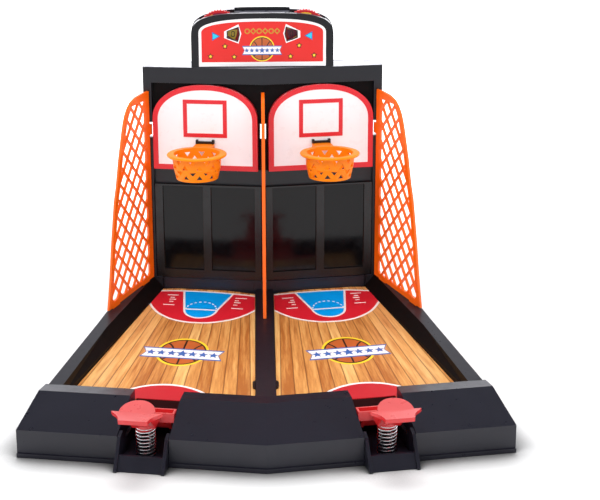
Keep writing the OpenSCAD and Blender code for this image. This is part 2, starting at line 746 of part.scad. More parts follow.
module score_window() {
  for (s = [-1, 1]) scale([s, 1]) polygon([[22.1, 213.9], [22.2, 209.9], [16, 207.7], [14.9, 212], [15.6, 216]]);
}

module dial_slots(y0, y1) {
  for (s = [-1, 1]) translate([s * dial_x - 12.9, y0, dial_z + 5]) cube([25.8, y1 - y0, 30]);
}

module sign_front() {
  color(black) place() difference() {
    union() {
      along_v(sign_y0, sign_y0 + 2) difference() {
        polygon(sign_pts(0));
        score_window();
      }
      along_v(sign_y0 + 1.9, sign_mid - 0.05) difference() {
        polygon(sign_pts(0));
        polygon(sign_pts(2));
      }
      // lowered deck between the dials
      along_v(sign_y0 + 1.9, sign_mid - 0.05) difference() {
        polygon(sign_pts(0.6));
        translate([-60, 150]) square([120, 72.4]);
        translate([18.6, 150]) square([60, 120]);
        translate([-78.6, 150]) square([60, 120]);
      }
    }
    dial_slots(dial_y0 - 1.2, sign_mid + 1);
    translate([-17.9, sign_y0 + 2.4, tower_h + sign_h - 0.8]) cube([35.8, 30, 20]);
  }
}

module sign_rear() {
  color(black) place() difference() {
    union() {
      along_v(sign_y1 - 2, sign_y1) polygon(sign_pts_rear(0));
      along_v(sign_mid + 0.05, sign_y1 - 1.9) difference() {
        polygon(sign_pts_rear(0));
        polygon(sign_pts_rear(2));
      }
      along_v(sign_mid + 0.05, sign_y1 - 1.9) difference() {
        polygon(sign_pts_rear(0.6));
        translate([-60, 150]) square([120, 72.4]);
        translate([18.6, 150]) square([60, 120]);
        translate([-78.6, 150]) square([60, 120]);
      }
      // dial bosses
      for (x = [-dial_x, dial_x]) translate([x, sign_y1 - 1, dial_z]) rotate([90, 0, 0])
        cylinder(r = 4.2, h = sign_y1 - 1 - dial_y1 - 0.3);
      // screw bosses on the tower roof
      for (x = [-36, 36]) translate([x, 211, tower_h + 0.05]) cylinder(r = 3.2, h = 8);
    }
    translate([-17.9, sign_mid - 5, tower_h + sign_h - 0.8]) cube([35.8, sign_y1 - sign_mid + 3, 20]);
    for (x = [-dial_x, dial_x]) translate([x, dial_y1 - 1, dial_z]) rotate([-90, 0, 0])
      cylinder(r = axle_r + 0.02, h = 9);
    for (x = [-36, 36]) translate([x, 211, tower_h - 1]) cylinder(r = 1.27, h = 8);
  }
}

module sign_screws() {
  color(steel) place() for (x = [-36, 36]) translate([x, 211, tower_h - 3.4]) screw(9);
}

function label_pts(e) = concat(
  arch(sign_w / 2 - 4.9 - e, tower_h + 22.3, sign_h - 22.3 - 3.5 - e, 2.5, 44),
  [[-sign_w / 2 + 4.9 + e, tower_h + 0.6], [sign_w / 2 - 4.9 - e, tower_h + 0.6]]
);

module sign_label() {
  color([0.9, 0.16, 0.14]) place() along_v(sign_y0 - 0.35, sign_y0 - 0.02) difference() {
    intersection() {
      polygon(label_pts(0));
      translate([-60, tower_h + 0.6]) square([120, 60]);
    }
    score_window();
  }
}

module score_dial(s) {
  color([0.8, 0.1, 0.12]) place() translate([s * dial_x, dial_y1, dial_z]) rotate([90, 0, 0])
    linear_extrude(dial_y1 - dial_y0) difference() {
      circle(r = dial_r, $fn = 96);
      circle(r = axle_r + 0.06);
      for (i = [0:dial_notches - 1]) rotate(360 * i / dial_notches) translate([dial_r + 0.15, 0]) circle(r = 0.7, $fn = 16);
    }
}
module score_dial_left() score_dial(-1);
module score_dial_right() score_dial(1);

module dial_axle(s) {
  color(steel) place() translate([s * dial_x, 0, dial_z]) rotate([-90, 0, 0]) {
    translate([0, 0, dial_y0 - 1.1]) cylinder(r = 3.6, h = 1.0);
    translate([0, 0, dial_y0 - 1.0]) cylinder(r = axle_r, h = 11);
  }
}
module dial_axle_left() dial_axle(-1);
module dial_axle_right() dial_axle(1);

// ---------- assembly ----------
front_console();
base_plate();
rubber_feet();
base_screws();
side_rail_left();
side_rail_right();
centre_beam();
court_deck_left();
court_deck_right();
court_print_left();
court_print_right();
launcher_cradle_left();
launcher_cradle_right();
launcher_lever_left();
launcher_lever_right();
launcher_pin_left();
launcher_pin_right();
launcher_spring_left();
launcher_spring_right();
rear_tower();
rear_cover();
cover_screws();
rear_sill();
backstop_left();
backstop_right();
backboard_left();
backboard_right();
board_trim_left();
board_trim_right();
hoop_left();
hoop_right();
hoop_clip_left();
hoop_clip_right();
side_net_left();
side_net_right();
centre_net();
sign_front();
sign_rear();
sign_label();
sign_screws();
score_dial_left();
score_dial_right();
dial_axle_left();
dial_axle_right();
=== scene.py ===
import math

import bmesh
import bpy
from mathutils import Matrix, Vector


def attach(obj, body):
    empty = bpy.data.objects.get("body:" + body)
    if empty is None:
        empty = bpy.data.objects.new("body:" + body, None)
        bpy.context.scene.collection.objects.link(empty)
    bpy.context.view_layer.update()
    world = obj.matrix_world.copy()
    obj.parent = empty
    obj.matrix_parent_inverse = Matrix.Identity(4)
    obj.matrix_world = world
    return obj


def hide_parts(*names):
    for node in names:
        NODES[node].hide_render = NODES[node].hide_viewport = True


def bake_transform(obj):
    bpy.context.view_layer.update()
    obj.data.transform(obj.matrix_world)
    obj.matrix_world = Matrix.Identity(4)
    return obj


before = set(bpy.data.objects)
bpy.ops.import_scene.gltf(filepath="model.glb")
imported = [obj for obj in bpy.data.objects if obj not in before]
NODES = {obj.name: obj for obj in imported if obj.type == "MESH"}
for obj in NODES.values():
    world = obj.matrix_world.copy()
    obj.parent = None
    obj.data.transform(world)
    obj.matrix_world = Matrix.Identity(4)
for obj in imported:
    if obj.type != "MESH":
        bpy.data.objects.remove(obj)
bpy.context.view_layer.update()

MM = 0.001
Y_MID = 106.52  # front lip line to the middle of the footprint
LANE = math.radians(9.5)  # angle a half is turned back
TILT = math.radians(8.86)  # slope of the boards
SIDES = (("left", -1), ("right", 1))


def lin(r, g, b):
    """sRGB 0-255 to linear."""
    return tuple(((c / 255 + 0.055) / 1.055) ** 2.4 if c > 10 else c / 255 / 12.92 for c in (r, g, b))


# ---------------------------------------------------------------- material nodes
def value_range(nt, source, lo, hi):
    r = nt.nodes.new("ShaderNodeMapRange")
    for socket, value in (("From Min", 0.3), ("From Max", 0.7), ("To Min", lo), ("To Max", hi)):
        r.inputs[socket].default_value = value
    nt.links.new(source, r.inputs["Value"])
    return r.outputs["Result"]


def noise(nt, vector, scale, detail=4.0, rough=0.55):
    n = nt.nodes.new("ShaderNodeTexNoise")
    n.inputs["Scale"].default_value = scale
    n.inputs["Detail"].default_value = detail
    n.inputs["Roughness"].default_value = rough
    nt.links.new(vector, n.inputs["Vector"])
    return n.outputs["Fac"]


def connect(nt, socket, value):
    """Set a socket to a number or a colour, or link it."""
    if isinstance(value, (int, float)):
        socket.default_value = value
    elif isinstance(value, tuple):
        socket.default_value = (*value, 1)
    else:
        nt.links.new(value, socket)


def math_node(nt, op, *values):
    m = nt.nodes.new("ShaderNodeMath")
    m.operation = op
    for socket, value in zip(m.inputs, values):
        connect(nt, socket, value)
    return m.outputs[0]


def mix_color(nt, fac, a, b, mode="MIX"):
    m = nt.nodes.new("ShaderNodeMix")
    m.data_type = "RGBA"
    m.blend_type = mode
    for slot, value in ((0, fac), (6, a), (7, b)):
        connect(nt, m.inputs[slot], value)
    return m.outputs[2]


def split(nt, vector):
    xyz = nt.nodes.new("ShaderNodeSeparateXYZ")
    nt.links.new(vector, xyz.inputs[0])
    return xyz.outputs


def surface_normal(nt):
    return split(nt, nt.nodes.new("ShaderNodeNewGeometry").outputs["Normal"])


def deeper_than(nt, where, depth):
    """1 where a point lies more than depth millimetres behind the front lip, square to its own half."""
    x, y, _ = split(nt, where)
    back = math_node(nt, "MULTIPLY", math_node(nt, "ADD", y, Y_MID * MM), math.cos(LANE))
    aside = math_node(nt, "MULTIPLY", math_node(nt, "ABSOLUTE", x), math.sin(LANE))
    return math_node(nt, "GREATER_THAN", math_node(nt, "SUBTRACT", back, aside), depth * MM)


def around_board(nt, where, depth):
    """1 on the tower's front-facing panel behind the backboards, and not below them, where the tower is
    painted darker as shade.
    """
    above = math_node(nt, "GREATER_THAN", split(nt, where)[2], 123 * MM)
    facing = math_node(nt, "LESS_THAN", surface_normal(nt)[1], -0.5)
    panel = math_node(nt, "MULTIPLY", above, facing)
    return math_node(nt, "MULTIPLY", panel, deeper_than(nt, where, depth))


def on_walls(nt, _where, least):
    """1 on faces whose normal rises less than the given height."""
    return math_node(nt, "LESS_THAN", surface_normal(nt)[2], least)


def surface(name, color, rough, vary=0.06, rough_vary=0.08, grain=1500.0, bump=0.1,
            metal=0.0, spec=0.5, coat=0.0, parts=()):
    """Moulded or printed surface: mottled colour, uneven gloss and a fine grain.

    Each of parts is (mask function, its limit, colour, roughness, specular), another colour and finish where
    the mask is 1. Some materials use it for painted light and shade: lit tops painted lighter than their
    walls, and a recess painted darker.
    finish where the mask is 1."""
    m = bpy.data.materials.new(name)
    m.use_nodes = True
    nt = m.node_tree
    b = nt.nodes["Principled BSDF"]
    where = nt.nodes.new("ShaderNodeTexCoord").outputs["Object"]
    broad = value_range(nt, noise(nt, where, 38.0), 1 - vary, 1 + vary)
    tone = nt.nodes.new("ShaderNodeCombineColor")
    for i in range(3):
        nt.links.new(broad, tone.inputs[i])
    uneven = noise(nt, where, 210.0, 7.0)
    gloss = value_range(nt, uneven, rough - rough_vary, rough + rough_vary)
    shine = spec
    for mask_of, limit, part_color, part_rough, part_spec in parts:
        mask = mask_of(nt, where, limit)
        rest = math_node(nt, "SUBTRACT", 1.0, mask)
        color = mix_color(nt, mask, color, part_color)
        part_gloss = value_range(nt, uneven, part_rough - 0.03, part_rough + 0.03)
        gloss = math_node(nt, "MULTIPLY_ADD", mask, part_gloss, math_node(nt, "MULTIPLY", rest, gloss))
        shine = math_node(nt, "MULTIPLY_ADD", rest, shine, math_node(nt, "MULTIPLY", mask, part_spec))
    nt.links.new(mix_color(nt, 1.0, color, tone.outputs[0], "MULTIPLY"), b.inputs["Base Color"])
    nt.links.new(gloss, b.inputs["Roughness"])
    connect(nt, b.inputs["Specular IOR Level"], shine)
    b.inputs["Metallic"].default_value = metal
    b.inputs["Coat Weight"].default_value = coat
    b.inputs["Coat Roughness"].default_value = 0.12
    n = nt.nodes.new("ShaderNodeBump")
    n.inputs["Strength"].default_value = bump
    n.inputs["Distance"].default_value = 0.0002
    nt.links.new(noise(nt, where, grain, 3.0), n.inputs["Height"])
    nt.links.new(n.outputs["Normal"], b.inputs["Normal"])
    return m


def ink(name, r, g, b, rough=0.36, vary=0.03):
    return surface(name, lin(r, g, b), rough, vary, 0.05, 1600.0, 0.03)


PLANKS_MEET = 375  # millimetres behind the front lip
PLANK_FAN = 0.0261  # width of a plank for each metre from there
PLANK_X = 0.0117  # metres from the middle line to the point where they meet


def wood_print():
    """Printed planks that fan out towards the player, with grain along each plank."""
    m = surface("court_wood", (1, 1, 1), 0.33, 0.0, 0.05, 1800.0, 0.05)
    nt = m.node_tree
    xyz = split(nt, nt.nodes.new("ShaderNodeTexCoord").outputs["Object"])
    x = math_node(nt, "SUBTRACT", math_node(nt, "ABSOLUTE", xyz[0]), PLANK_X)
    y = math_node(nt, "SUBTRACT", (PLANKS_MEET - Y_MID) * MM, xyz[1])
    across = math_node(nt, "MULTIPLY_ADD", math_node(nt, "DIVIDE", x, y), 1 / PLANK_FAN, 20.34)
    plank = math_node(nt, "FLOOR", across)
    inside = math_node(nt, "FRACT", across)
    rnd = nt.nodes.new("ShaderNodeTexWhiteNoise")
    rnd.noise_dimensions = "1D"
    nt.links.new(plank, rnd.inputs["W"])
    # grain coordinates: fine across the plank, stretched along it
    along = nt.nodes.new("ShaderNodeCombineXYZ")
    nt.links.new(across, along.inputs[0])
    nt.links.new(math_node(nt, "MULTIPLY", xyz[1], 13.0), along.inputs[1])
    nt.links.new(math_node(nt, "MULTIPLY", rnd.outputs["Value"], 9.0), along.inputs[2])
    grain = noise(nt, along.outputs[0], 4.2, 6.0, 0.65)
    broad = noise(nt, along.outputs[0], 1.3, 3.0)
    ramp = nt.nodes.new("ShaderNodeValToRGB")
    e = ramp.color_ramp.elements
    e[0].position = 0.32
    e[0].color = (*lin(172, 102, 46), 1)
    e[1].position = 0.68
    e[1].color = (*lin(240, 192, 122), 1)
    e.new(0.5).color = (*lin(216, 152, 84), 1)
    blend = math_node(nt, "MULTIPLY_ADD", grain, 0.5, math_node(nt, "MULTIPLY", broad, 0.5))
    lift = math_node(nt, "SUBTRACT", rnd.outputs["Value"], 0.5)
    nt.links.new(math_node(nt, "MULTIPLY_ADD", lift, 0.3, blend), ramp.inputs[0])
    edge = math_node(nt, "MINIMUM", inside, math_node(nt, "SUBTRACT", 1.0, inside))
    line = math_node(nt, "MULTIPLY", math_node(nt, "LESS_THAN", edge, 0.045), 0.75)
    color = mix_color(nt, line, ramp.outputs[0], lin(118, 66, 30))
    nt.links.new(color, nt.nodes["Principled BSDF"].inputs["Base Color"])
    return m


# ---------------------------------------------------------------- materials
RECESS = 186.6  # lane depth behind which the tower's panels lie
BLACK = surface("black_plastic", lin(26, 26, 36), 0.34, 0.10, 0.07, 1300.0, 0.05)
BLACK_IN = surface("black_satin", lin(22, 20, 23), 0.36, 0.10, 0.07, 1500.0, 0.08)
# painted shade: the rail's walls are painted far darker than its tops, as shade
RAIL_WALLS_PAINTED_DARK = surface("rail_black_painted_wall_shade", lin(25, 25, 33), 0.34, 0.10, 0.07, 1300.0, 0.05,
               parts=((on_walls, 0.8, lin(10, 7, 7), 0.6, 0.2),))
# painted light and shade: upward faces painted mid grey as lit tops, walls near black, and the recessed panel
# around the backboards painted darker still as shade
TOWER_PAINTED_LIGHT_AND_SHADE = surface("tower_painted_light_and_shade", lin(92, 92, 104), 0.32, 0.10, 0.07, 1300.0, 0.05,
                parts=((on_walls, 0.9, lin(16, 17, 25), 0.34, 0.5),
                       (around_board, RECESS, lin(8, 6, 7), 0.7, 0.2)))
# painted light: the sign's upward faces are painted grey as lit tops, its walls near black
SIGN_PAINTED_TOP_LIGHT = surface("sign_black_painted_top_light", lin(70, 70, 80), 0.32, 0.10, 0.07, 1300.0, 0.05,
               parts=((on_walls, 0.93, lin(16, 17, 22), 0.34, 0.4),))
GLOSS = surface("gloss_black", lin(15, 12, 15), 0.22, 0.10, 0.04, 900.0, 0.02,
                parts=((deeper_than, RECESS, lin(11, 10, 12), 0.08, 0.3),))
RUBBER = surface("foot_rubber", lin(22, 22, 22), 0.85, 0.10, 0.08, 2000.0, 0.3)
STEEL = surface("steel", (0.62, 0.62, 0.64), 0.3, 0.05, 0.08, 2500.0, 0.05, metal=1.0)
WIRE = surface("spring_wire", (0.86, 0.86, 0.88), 0.14, 0.04, 0.06, 2500.0, 0.04, metal=1.0)
# painted highlight: the lever's upward faces are painted pink as the sheen of the top light, its walls deep
# red
LEVER_PAINTED_TOP_SHEEN = surface("lever_red", lin(210, 84, 84), 0.3, 0.05, 0.05, 1500.0, 0.03, spec=0.7, coat=0.6,
                parts=((on_walls, 0.75, lin(208, 34, 38), 0.3, 0.5),))
ORANGE = surface("net_orange", lin(255, 106, 4), 0.36, 0.06, 0.07, 1600.0, 0.07)
HOOP = surface("hoop_orange", lin(255, 138, 2), 0.42, 0.06, 0.07, 1600.0, 0.06, spec=0.3)
BOARD = surface("board_white", lin(252, 251, 254), 0.3, 0.015, 0.05, 1400.0, 0.04,
                parts=((deeper_than, 185.5, lin(206, 30, 40), 0.35, 0.5),))
TRIM = surface("trim_red", lin(222, 34, 46), 0.35, 0.04, 0.06, 1400.0, 0.04)
LABEL = surface("label_white", lin(248, 246, 247), 0.35, 0.015, 0.05, 1500.0, 0.03)
FIELD = surface("label_red", lin(222, 36, 30), 0.35, 0.04, 0.05, 1500.0, 0.03)
DIAL = surface("dial_red", lin(206, 30, 36), 0.4, 0.06, 0.07, 1500.0, 0.08)
COURT_RED = ink("ink_red", 216, 34, 50, 0.34, 0.05)
# painted shade: the same red ink as the rest of the print, painted darker in front for how the light falls
# there
COURT_RED_FRONT_SHADED = ink("ink_red_front_painted_shade", 190, 33, 44, 0.34, 0.05)
COURT_BLUE = ink("ink_blue", 0, 164, 250, 0.34, 0.05)
INK_WHITE = ink("ink_white", 250, 242, 240, vary=0.02)
INK_YELLOW = ink("ink_yellow", 252, 214, 50)
INK_BLACK = ink("ink_black", 38, 26, 24)
INK_BALL = ink("ink_ball", 190, 96, 44, vary=0.08)
INK_NAVY = ink("ink_navy", 60, 104, 178)
INK_CYAN = ink("ink_cyan", 40, 200, 236)
INK_BROWN = ink("ink_brown", 96, 24, 12)
INK_OLIVE = ink("ink_olive", 188, 150, 44)
INK_MUSTARD = ink("ink_mustard", 255, 216, 70)
INK_MAROON = ink("ink_maroon", 140, 16, 62)
WOOD = wood_print()

# longest matching start of a node's name wins
LOOKS = {
    "rubber_feet": RUBBER, "base_screws": STEEL, "cover_screws": STEEL, "sign_screws": STEEL,
    "court_print": WOOD, "court_deck": BLACK_IN, "launcher_cradle": BLACK, "launcher_lever": LEVER_PAINTED_TOP_SHEEN,
    "launcher_pin": STEEL, "launcher_spring": WIRE, "backstop": GLOSS, "backboard": BOARD,
    "board_trim": TRIM, "hoop_left": HOOP, "hoop_right": HOOP, "hoop_clip": BLACK_IN,
    "side_net": ORANGE, "centre_net": ORANGE, "sign_label": LABEL, "score_dial": DIAL,
    "dial_axle": STEEL, "rear_tower": TOWER_PAINTED_LIGHT_AND_SHADE, "sign_front": SIGN_PAINTED_TOP_LIGHT, "sign_rear": SIGN_PAINTED_TOP_LIGHT,
    "side_rail": RAIL_WALLS_PAINTED_DARK, "centre_beam": RAIL_WALLS_PAINTED_DARK,
}
ROUND = {  # width of the rounded edges in millimetres
    "front_console": 0.8, "side_rail": 0.5, "rear_tower": 1.0, "rear_cover": 0.4, "centre_beam": 0.45,
    "court_deck": 0.3, "launcher_cradle": 0.25, "launcher_lever": 0.45, "rear_sill": 0.25,
    "backstop": 0.3, "hoop_left": 0.22, "hoop_right": 0.22, "hoop_clip": 0.15, "side_net": 0.38,
    "centre_net": 0.45, "sign_front": 0.45, "sign_rear": 0.45, "score_dial": 0.18,
    "base_plate": 0.3, "rubber_feet": 0.25, "backboard": 0.05, "board_trim": 0.03, "sign_label": 0.04,
}
# these have curved walls in coarse steps, so only true corners are rounded
COARSE = ("hoop_left", "hoop_right", "score_dial", "side_net", "centre_net", "launcher_lever")


def named(table, node, default=None):
    found = [k for k in table if node.startswith(k)]
    return table[max(found, key=len)] if found else default


def soften(obj, width, least_angle):
    """Join the split corners, drop the flat triangulation and round the edges."""
    w = obj.modifiers.new("join", "WELD")
    w.merge_threshold = 1e-6
    d = obj.modifiers.new("flatten", "DECIMATE")
    d.decimate_type = "DISSOLVE"
    d.angle_limit = math.radians(0.6)
    b = obj.modifiers.new("edge", "BEVEL")
    b.width = width * MM
    b.segments = 2
    b.limit_method = "ANGLE"
    b.angle_limit = math.radians(least_angle)
    b.use_clamp_overlap = True
    obj.modifiers.new("shade", "WEIGHTED_NORMAL").keep_sharp = False


for n, o in NODES.items():
    o.data.materials.clear()
    o.data.materials.append(named(LOOKS, n, BLACK))
    edge_width = named(ROUND, n)
    if edge_width:
        soften(o, edge_width, 28 if n.startswith(COARSE) else 12)


# ---------------------------------------------------------------- where the prints lie
def court_at(s):
    """Board surface: x and y from the front lip line, h above the print."""
    def place(x, y, h):
        v = -x * math.sin(LANE) + y * math.cos(LANE)
        z = 20.4 + (v - 59.3) * math.tan(TILT)
        k = h * math.sin(TILT)
        p = (s * (x + k * math.sin(LANE)), y - k * math.cos(LANE) - Y_MID, z + h * math.cos(TILT))
        return Vector(p) * MM
    return place


def sign_at(x, z, h):
    return Vector((x, 194.85 - h - Y_MID, z)) * MM


def lane_xy(u, v):
    return (u * math.cos(LANE) - v * math.sin(LANE), u * math.sin(LANE) + v * math.cos(LANE))


# ---------------------------------------------------------------- drawing thin closed shapes
def prism(bm, loop, place, h0, h1):
    low = [bm.verts.new(place(a, b, h0)) for a, b in loop]
    top = [bm.verts.new(place(a, b, h1)) for a, b in loop]
    bm.faces.new(low[::-1])
    bm.faces.new(top)
    for i in range(len(loop)):
        j = (i + 1) % len(loop)
        bm.faces.new((low[i], low[j], top[j], top[i]))


def ring(bm, outer, inner, place, h0, h1):
    rows = [[bm.verts.new(place(a, b, h)) for a, b in loop] for h in (h0, h1) for loop in (outer, inner)]
    lo_o, lo_i, hi_o, hi_i = rows
    for i in range(len(outer)):
        j = (i + 1) % len(outer)
        bm.faces.new((hi_o[i], hi_o[j], hi_i[j], hi_i[i]))
        bm.faces.new((lo_o[j], lo_o[i], lo_i[i], lo_i[j]))
        bm.faces.new((lo_o[i], lo_o[j], hi_o[j], hi_o[i]))
        bm.faces.new((lo_i[j], lo_i[i], hi_i[i], hi_i[j]))


def smooth(points, steps=6):
    """Catmull-Rom curve through the points."""
    pts = [points[0], *points, points[-1]]
    out = []
    for i in range(1, len(pts) - 2):
        p0, p1, p2, p3 = (Vector(p) for p in pts[i - 1:i + 3])
        bend = 2 * p0 - 5 * p1 + 4 * p2 - p3
        twist = 3 * p1 - p0 - 3 * p2 + p3
        for k in range(steps):
            t = k / steps
            q = 0.5 * (2 * p1 + (p2 - p0) * t + bend * t * t + twist * t ** 3)
            out.append((q.x, q.y))
    return out + [tuple(points[-1])]


def stroke(points, width):
    """Outline of a line of the given width along the points."""
    left, right = [], []
    for i, p in enumerate(points):
        a = Vector(points[max(i - 1, 0)])
        b = Vector(points[min(i + 1, len(points) - 1)])
        d = (b - a).normalized()
        n = Vector((-d.y, d.x)) * width / 2
        left.append((p[0] + n.x, p[1] + n.y))
        right.append((p[0] - n.x, p[1] - n.y))
    return left + right[::-1]


def polar(cx, cy, r, degrees):
    a = math.radians(degrees)
    return (cx + r * math.cos(a), cy + r * math.sin(a))


def circle(cx, cy, r, n=72):
    return [polar(cx, cy, r, 360 * i / n) for i in range(n)]


def arc(cx, cy, r, a0, a1, n):
    return [polar(cx, cy, r, a0 + (a1 - a0) * i / n) for i in range(n + 1)]


def star(cx, cy, r, inner=0.45):
    return [polar(cx, cy, r * inner if i % 2 else r, 90 + 36 * i) for i in range(10)]


def turned(loop, cx, cy, deg):
    c, s = math.cos(math.radians(deg)), math.sin(math.radians(deg))
    return [(cx + x * c - y * s, cy + x * s + y * c) for x, y in loop]


def mirrored(loop, s):
    return [(s * x, z) for x, z in loop]


def cut(loop, region):
    """The part of a loop inside a convex region given anticlockwise."""
    for i, a in enumerate(region):
        b = region[(i + 1) % len(region)]
        out = []
        for j, p in enumerate(loop):
            q = loop[(j + 1) % len(loop)]
            dp = (b[0] - a[0]) * (p[1] - a[1]) - (b[1] - a[1]) * (p[0] - a[0])
            dq = (b[0] - a[0]) * (q[1] - a[1]) - (b[1] - a[1]) * (q[0] - a[0])
            if dp >= 0:
                out.append(p)
            if (dp >= 0) != (dq >= 0):
                t = dp / (dp - dq)
                out.append((p[0] + t * (q[0] - p[0]), p[1] + t * (q[1] - p[1])))
        loop = out
        if len(loop) < 3:
            return []
    clean = [p for i, p in enumerate(loop) if math.dist(p, loop[i - 1]) > 1e-4]
    return clean if len(clean) > 2 else []


def piece(name, material, body, draw):
    """A closed mesh made by draw(bm). Without a body it rides on nothing yet."""
    bm = bmesh.new()
    draw(bm)
    bmesh.ops.recalc_face_normals(bm, faces=bm.faces)
    mesh = bpy.data.meshes.new(name)
    bm.to_mesh(mesh)
    bm.free()
    obj = bpy.data.objects.new(name, mesh)
    bpy.context.scene.collection.objects.link(obj)
    mesh.materials.append(material)
    if body:
        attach(obj, body)
    return obj


def layer(place, top, *loops, base=-0.05):
    """A draw function for loops laid on a surface as one thin print."""
    def draw(bm):
        for loop in loops:
            prism(bm, loop, place, base, top)
    return draw


# ---------------------------------------------------------------- court print
BEAM_X = 6.35  # edge of the print at the centre beam
FRONT_V = 42.9  # front edge, in lane depth
SIDE_K = 0.3666  # how fast the outer edge closes in towards the back


def outer_edge(y):
    return 117.2 - SIDE_K * (y - 63.6)


def court_region():
    """Outline of the print: front edge, outer edge, bowed rear edge, centre beam."""
    bow_r, bow_u, bow_v, limit_v, gap = 172, 74, 185.3, 184.6, 0.15
    rear = []
    for i in range(25):
        u = 104 - 68 * i / 24
        bow = bow_v - bow_r + math.sqrt(bow_r ** 2 - (u - bow_u) ** 2)
        rear.append(lane_xy(u, min(bow, limit_v) - gap))
    front = [BEAM_X, (outer_edge(0) - SIDE_K * FRONT_V / math.cos(LANE)) / (1 + SIDE_K * math.tan(LANE))]
    pts = [(x, (FRONT_V + x * math.sin(LANE)) / math.cos(LANE)) for x in front] + rear
    keep = [p for p in pts if p[0] <= outer_edge(p[1]) + 0.01 and p[0] >= BEAM_X - 0.05]
    corner_y = next(p[1] for p in keep if p[1] > 150) - 0.4
    keep.insert(2, (outer_edge(corner_y), corner_y))
    # carry the rear edge on to the centre beam
    (xa, ya), (xb, yb) = keep[-2:]
    keep.append((BEAM_X, yb + (yb - ya) / (xb - xa) * (BEAM_X - xb) - 0.02))
    return keep


REGION = court_region()
REAR = {  # white line across the back, which is not quite the same in both lanes
    "left": ((3, 180.9), (6, 181.9), (20.6, 186.3), (37.5, 190.3), (53.8, 193.0), (67.5, 194.3),
             (74, 194.6)),
    "right": ((3, 182.9), (6, 183.7), (20.6, 186.9), (37.5, 190.2), (53.8, 192.2), (68.1, 191.9),
              (74, 191.5)),
}
KEY = smooth([(30.9, 164.6), (32.1, 161.2), (34.2, 158.1), (37.1, 156.0), (40.7, 155.1),
              (44.4, 155.3), (47.8, 156.9), (50.5, 159.6), (52.0, 162.7), (52.6, 166.0)])
THREE = smooth([(3, 165.2), (7.5, 161.2), (12.5, 156.7), (20, 152.0), (30, 149.0), (38.8, 148.3),
                (50, 150.1), (60, 154.6), (68.1, 162.0), (72.5, 168.9), (77, 179.5)])
FRONT = [lane_xy(*polar(68.5, 26.4, 38, 154.2 - 128.4 * i / 40)) for i in range(41)]
NOTCH = [lane_xy(u, v) for u, v in ((84.9, FRONT_V), (84.9, 48.3), (53.5, 48.3), (53.5, FRONT_V))]
BARS = [  # short marks beside the key
    ((57.4, 187.3), (64.6, 188.4)), ((59.8, 184.2), (62.6, 184.7)), ((58.7, 181.4), (63.2, 182.2)),
    ((60.4, 178.6), (63.2, 179.1)), ((59.4, 174.0), (66.9, 175.2)), ((11.6, 178.8), (19.2, 180.2)),
    ((17.1, 176.2), (19.6, 176.7)), ((15.8, 173.3), (20.1, 174.2)), ((17.8, 170.3), (20.6, 170.9)),
    ((14.2, 165.0), (21.7, 166.4)),
]


def ball_panel(r, sx, sy, middle):
    """One panel of a quarter of the ball: the middle one, or the one outside the side seam."""
    gap = r * 0.035
    rim_r = r * 0.85
    seam_x = r * 1.1
    seam_r = r * 0.74 + (gap if middle else -gap)
    x = (rim_r ** 2 - seam_r ** 2 + seam_x ** 2) / (2 * seam_x)
    start = math.acos(gap / rim_r) if middle else math.asin(gap / rim_r)
    rim = arc(0, 0, rim_r, math.degrees(start), math.degrees(math.acos(x / rim_r)), 12)
    b1 = math.atan2(rim[-1][1], rim[-1][0] - seam_x)
    b0 = math.pi - math.asin(gap / seam_r)
    seam = arc(seam_x, 0, seam_r, math.degrees(b1), math.degrees(b0), 10)[1:]
    ends = [(gap, gap)] if middle else []
    return [(sx * a, sy * b) for a, b in rim + seam + ends]


def ball_emblem(prefix, side, place, cx, cy, r, tilt, h):
    """Plain ball in a ring with an empty ribbon and stars across it."""
    def add(part, material, draw):
        piece(f"{prefix}_{part}_{side}", material, "game", draw)

    def across(loop):
        return turned(loop, cx, cy - r * 0.12, tilt)

    def ribbon(e):
        x, z, nick = r * 1.5 + e, r * 0.29 + e, r * 1.37 + e * 0.3
        return across([(-x, -z), (-nick, 0), (-x, z), (x, z), (nick, 0), (x, -z)])

    panels = [ball_panel(r, sx, sy, middle) for sx in (-1, 1) for sy in (-1, 1) for middle in (True, False)]
    stars = [star(i * r * 0.4, 0, r * (0.2 if i else 0.25)) for i in range(-3, 4)]
    add("ring", INK_YELLOW, lambda bm: ring(bm, circle(cx, cy, r), circle(cx, cy, r * 0.91), place, -0.05, h))
    add("disc", INK_BLACK, layer(place, h * 0.7, circle(cx, cy, r * 0.905)))
    add("ball", INK_BALL, layer(place, h * 0.9, *(turned(p, cx, cy, tilt) for p in panels)))
    add("ribbon_edge", INK_NAVY, layer(place, h * 1.2, ribbon(r * 0.07)))
    add("ribbon", INK_WHITE, layer(place, h * 1.5, ribbon(0)))
    add("ribbon_stars", INK_NAVY, layer(place, h * 1.8, *(across(p) for p in stars)))


